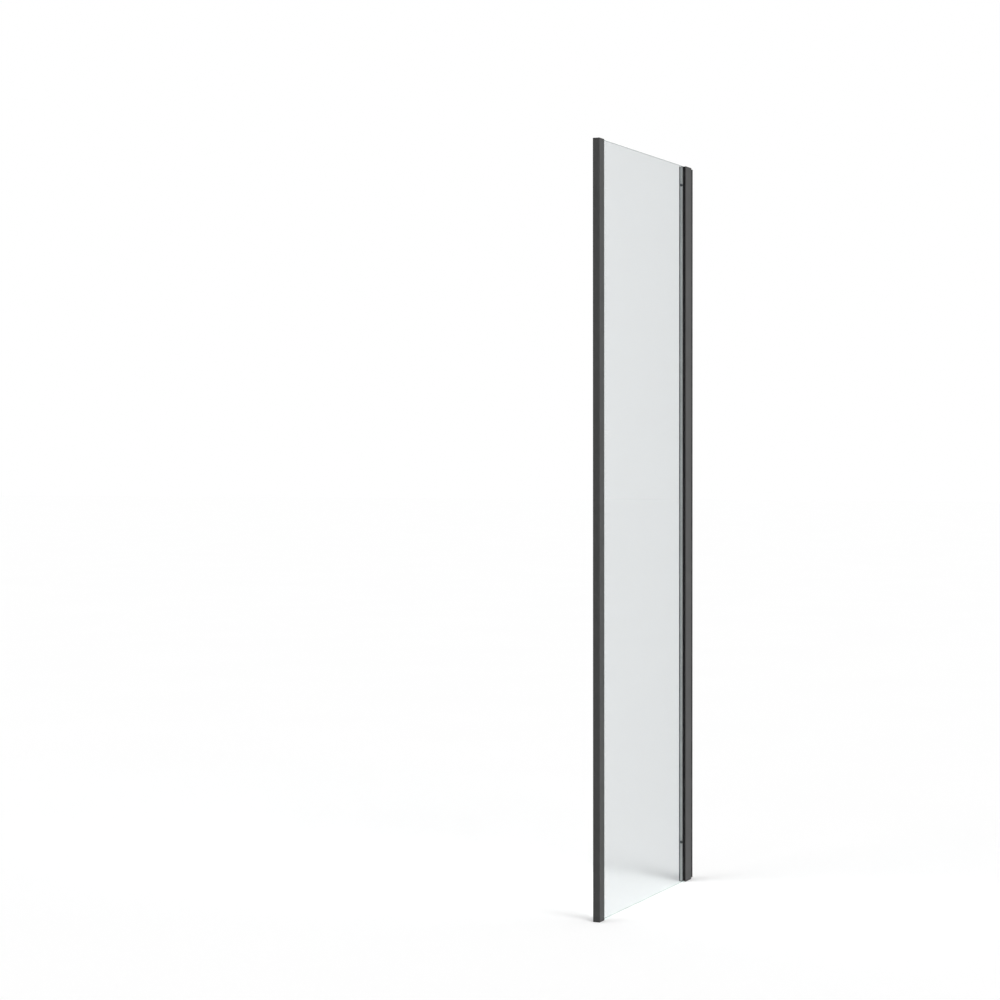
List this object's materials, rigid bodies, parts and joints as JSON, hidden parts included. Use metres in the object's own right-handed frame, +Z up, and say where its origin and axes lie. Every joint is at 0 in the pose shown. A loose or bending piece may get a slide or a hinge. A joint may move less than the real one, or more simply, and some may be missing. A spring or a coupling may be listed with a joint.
{
  "type": "fixed shower side panel",
  "caption": "Full-height clear glass side panel of a shower, with a slim post profile at the door end and a telescoping, screw-adjusted profile at the wall.",
  "frame": {"origin": "middle of the panel's box on the shower tray: half way between the door end and the wall, half way through the wall-side profile, at the foot", "axes": "+X from the door end to the wall, square to the wall; +Y into the shower; +Z up"},
  "size_m": [0.668, 0.0232, 1.95],
  "materials": {
    "black_aluminium": "matt black powder coat",
    "glass": "clear toughened float glass with polished edges",
    "black_rubber": "matt extruded gasket",
    "clear_seal": "soft seal extruded in two parts, a translucent head and a black leg",
    "black_plastic": "moulded, fine grain",
    "clear_plastic": "moulded, translucent",
    "black_steel": "blackened stainless steel",
    "steel": "plain stainless steel",
    "brass": "machined"
  },
  "bodies": {
    "wall_side": {"wall_channel": "black_aluminium", "nut_blocks": "brass", "nut_block_screws": "steel"},
    "panel": {"glass_pane": "glass", "sliding_profile": "black_aluminium", "corner_profile": "black_aluminium", "corner_cover": "black_aluminium", "sliding_outer_gasket": "black_rubber", "sliding_inner_seal": "clear_seal", "corner_outer_gasket": "black_rubber", "corner_inner_gasket": "black_rubber", "sliding_top_cap": "black_plastic", "sliding_bottom_cap": "black_plastic", "corner_top_cap": "black_plastic", "corner_bottom_cap": "black_plastic", "glass_packers": "clear_plastic", "edge_blocks": "clear_plastic", "spindle_bushes": "black_plastic", "spindle_washers": "steel"},
    "spindle_top": {"adjusting_spindle_top": "black_steel", "spindle_clip_top": "steel"},
    "spindle_bottom": {"adjusting_spindle_bottom": "black_steel", "spindle_clip_bottom": "steel"}
  },
  "joints": [
    {"name": "width_slide", "type": "slide", "parent": "wall_side", "child": "panel", "axis": [-1, 0, 0], "range_m": [-0.0075, 0.0125]},
    {"name": "spindle_top_turn", "type": "hinge", "parent": "panel", "child": "spindle_top", "pos_m": [0.278, 0.00483, 1.899], "axis": [1, 0, 0], "range_deg": [-6435, 3863]},
    {"name": "spindle_bottom_turn", "type": "hinge", "parent": "panel", "child": "spindle_bottom", "pos_m": [0.278, 0.00483, 0.108], "axis": [1, 0, 0], "range_deg": [-6435, 3863]}
  ],
  "couplings": [
    {"joint": "spindle_top_turn", "follows": "width_slide", "rad_per_m": -8976},
    {"joint": "spindle_bottom_turn", "follows": "width_slide", "rad_per_m": -8976}
  ]
}
